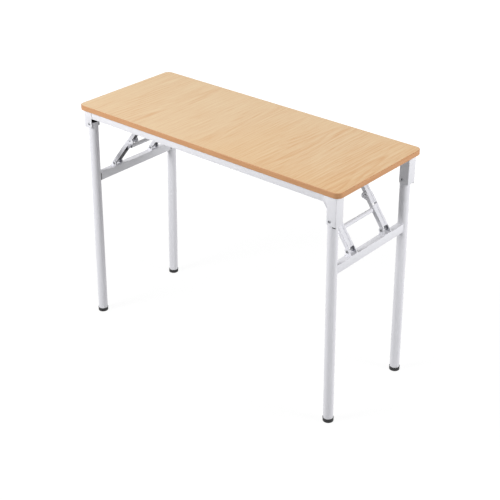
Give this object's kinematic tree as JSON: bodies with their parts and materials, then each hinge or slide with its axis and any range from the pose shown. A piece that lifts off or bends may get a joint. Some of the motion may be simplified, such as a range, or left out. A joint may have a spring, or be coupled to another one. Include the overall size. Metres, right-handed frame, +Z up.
{
  "type": "folding desk",
  "caption": "Folding desk with a banded rectangular wooden top on a steel frame; the tubular leg frame at each end folds flat under the top on knee-jointed braces.",
  "frame": {"origin": "on the floor under the middle of the top", "axes": "+X along the desk, -Y towards the user at the front, +Z up"},
  "size_m": [1, 0.4, 0.75],
  "materials": {
    "wood_laminate": "satin light oak grain across the depth",
    "edge_banding": "satin darker wood-tone edge",
    "frame_paint": "white powder coat",
    "brace_steel": "pale grey coated sheet steel",
    "fastener_steel": "plain steel rivets and screws",
    "foot_plastic": "black moulded cap"
  },
  "bodies": {
    "desk": {"desk_top": "wood_laminate", "edge_band": "edge_banding", "front_left_brace_hanger": "brace_steel", "front_left_leg_bracket": "frame_paint", "front_rail": "frame_paint", "front_right_brace_hanger": "brace_steel", "front_right_leg_bracket": "frame_paint", "left_cross_tube": "frame_paint", "left_hanger_rivets": "fastener_steel", "left_leg_rivets": "fastener_steel", "rear_left_brace_hanger": "brace_steel", "rear_left_leg_bracket": "frame_paint", "rear_rail": "frame_paint", "rear_right_brace_hanger": "brace_steel", "rear_right_leg_bracket": "frame_paint", "right_cross_tube": "frame_paint", "right_hanger_rivets": "fastener_steel", "right_leg_rivets": "fastener_steel", "top_screws": "fastener_steel"},
    "left_leg_frame": {"front_left_clevis": "brace_steel", "front_left_foot": "foot_plastic", "front_left_leg": "frame_paint", "left_clevis_rivets": "fastener_steel", "left_leg_crossbar": "frame_paint", "rear_left_clevis": "brace_steel", "rear_left_foot": "foot_plastic", "rear_left_leg": "frame_paint"},
    "left_lower_links": {"front_left_lower_link": "brace_steel", "left_knee_rivets": "fastener_steel", "left_release_rod": "brace_steel", "rear_left_lower_link": "brace_steel"},
    "left_upper_links": {"front_left_upper_link": "brace_steel", "rear_left_upper_link": "brace_steel"},
    "right_leg_frame": {"front_right_clevis": "brace_steel", "front_right_foot": "foot_plastic", "front_right_leg": "frame_paint", "rear_right_clevis": "brace_steel", "rear_right_foot": "foot_plastic", "rear_right_leg": "frame_paint", "right_clevis_rivets": "fastener_steel", "right_leg_crossbar": "frame_paint"},
    "right_lower_links": {"front_right_lower_link": "brace_steel", "rear_right_lower_link": "brace_steel", "right_knee_rivets": "fastener_steel", "right_release_rod": "brace_steel"},
    "right_upper_links": {"front_right_upper_link": "brace_steel", "rear_right_upper_link": "brace_steel"}
  },
  "joints": [
    {"name": "left_leg_fold", "type": "hinge", "parent": "desk", "child": "left_leg_frame", "pos_m": [-0.466, 0, 0.69], "axis": [0, -1, 0], "range_deg": [0, 91.4]},
    {"name": "left_upper_link_swing", "type": "hinge", "parent": "desk", "child": "left_upper_links", "pos_m": [-0.314, 0, 0.719], "axis": [0, -1, 0], "range_deg": [-24, 0]},
    {"name": "left_lower_link_swing", "type": "hinge", "parent": "left_leg_frame", "child": "left_lower_links", "pos_m": [-0.46548, 0, 0.52688], "axis": [0, -1, 0], "range_deg": [0, 52]},
    {"name": "right_leg_fold", "type": "hinge", "parent": "desk", "child": "right_leg_frame", "pos_m": [0.466, 0, 0.6575], "axis": [0, 1, 0], "range_deg": [0, 90.9]},
    {"name": "right_upper_link_swing", "type": "hinge", "parent": "desk", "child": "right_upper_links", "pos_m": [0.33, 0, 0.719], "axis": [0, 1, 0], "range_deg": [-33.25, 0]},
    {"name": "right_lower_link_swing", "type": "hinge", "parent": "right_leg_frame", "child": "right_lower_links", "pos_m": [0.46355, 0, 0.52693], "axis": [0, 1, 0], "range_deg": [0, 28.34]}
  ],
  "couplings": [
    {"joint": "left_upper_link_swing", "follows": "left_leg_fold", "ratio": -0.26262},
    {"joint": "left_lower_link_swing", "follows": "left_leg_fold", "ratio": 0.56889},
    {"joint": "right_upper_link_swing", "follows": "right_leg_fold", "ratio": -0.36573},
    {"joint": "right_lower_link_swing", "follows": "right_leg_fold", "ratio": 0.31175}
  ]
}
